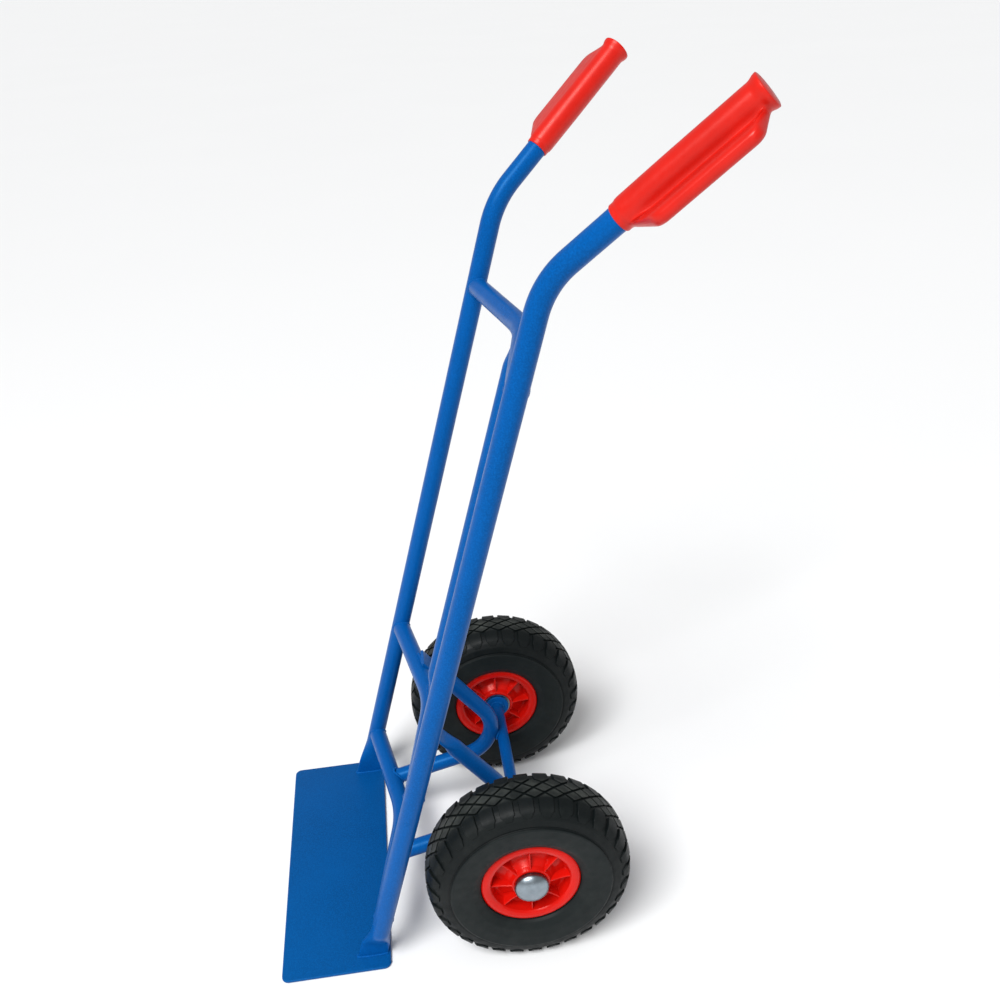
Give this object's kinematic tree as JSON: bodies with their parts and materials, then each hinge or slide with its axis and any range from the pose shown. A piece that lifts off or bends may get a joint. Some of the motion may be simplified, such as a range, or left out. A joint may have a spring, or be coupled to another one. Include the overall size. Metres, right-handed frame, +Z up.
{
  "type": "hand truck",
  "caption": "Tubular hand truck with a flat toe plate, leaning rails with swept-back handles, bent crossbars and two free-spinning wheels on one axle.",
  "frame": {"origin": "on the floor, under the middle of the truck's box, as it stands on its toe plate and tyres", "axes": "+Z up, +X to the truck's left along the axle, -Y towards the toe plate, +Y towards the wheels and handles"},
  "size_m": [0.5792, 0.5571, 1.0519],
  "materials": {
    "blue_paint": "semi-gloss powder coat",
    "red_grip": "glossy moulded",
    "red_rim": "glossy moulded",
    "tyre_rubber": "matt moulded",
    "zinc": "zinc plated",
    "bearing_steel": "ground"
  },
  "bodies": {
    "frame": {"toe_plate": "blue_paint", "left_rail": "blue_paint", "right_rail": "blue_paint", "upper_crossbar": "blue_paint", "middle_crossbar": "blue_paint", "lower_crossbar": "blue_paint", "centre_strut": "blue_paint", "left_axle_bracket": "blue_paint", "right_axle_bracket": "blue_paint", "axle": "blue_paint", "left_axle_collar": "blue_paint", "right_axle_collar": "blue_paint", "left_hub_spacer": "zinc", "right_hub_spacer": "zinc", "left_outer_washer": "zinc", "right_outer_washer": "zinc", "left_hub_cap": "zinc", "right_hub_cap": "zinc", "left_grip": "red_grip", "right_grip": "red_grip"},
    "left_wheel": {"left_tyre": "tyre_rubber", "left_rim": "red_rim", "left_inner_bearing": "bearing_steel", "left_outer_bearing": "bearing_steel"},
    "right_wheel": {"right_tyre": "tyre_rubber", "right_rim": "red_rim", "right_inner_bearing": "bearing_steel", "right_outer_bearing": "bearing_steel"}
  },
  "joints": [
    {"name": "left_wheel_spin", "type": "hinge", "parent": "frame", "child": "left_wheel", "pos_m": [0.1729, 0.0491, 0.13], "axis": [1, 0, 0], "continuous": true},
    {"name": "right_wheel_spin", "type": "hinge", "parent": "frame", "child": "right_wheel", "pos_m": [-0.1729, 0.0491, 0.13], "axis": [1, 0, 0], "continuous": true}
  ]
}
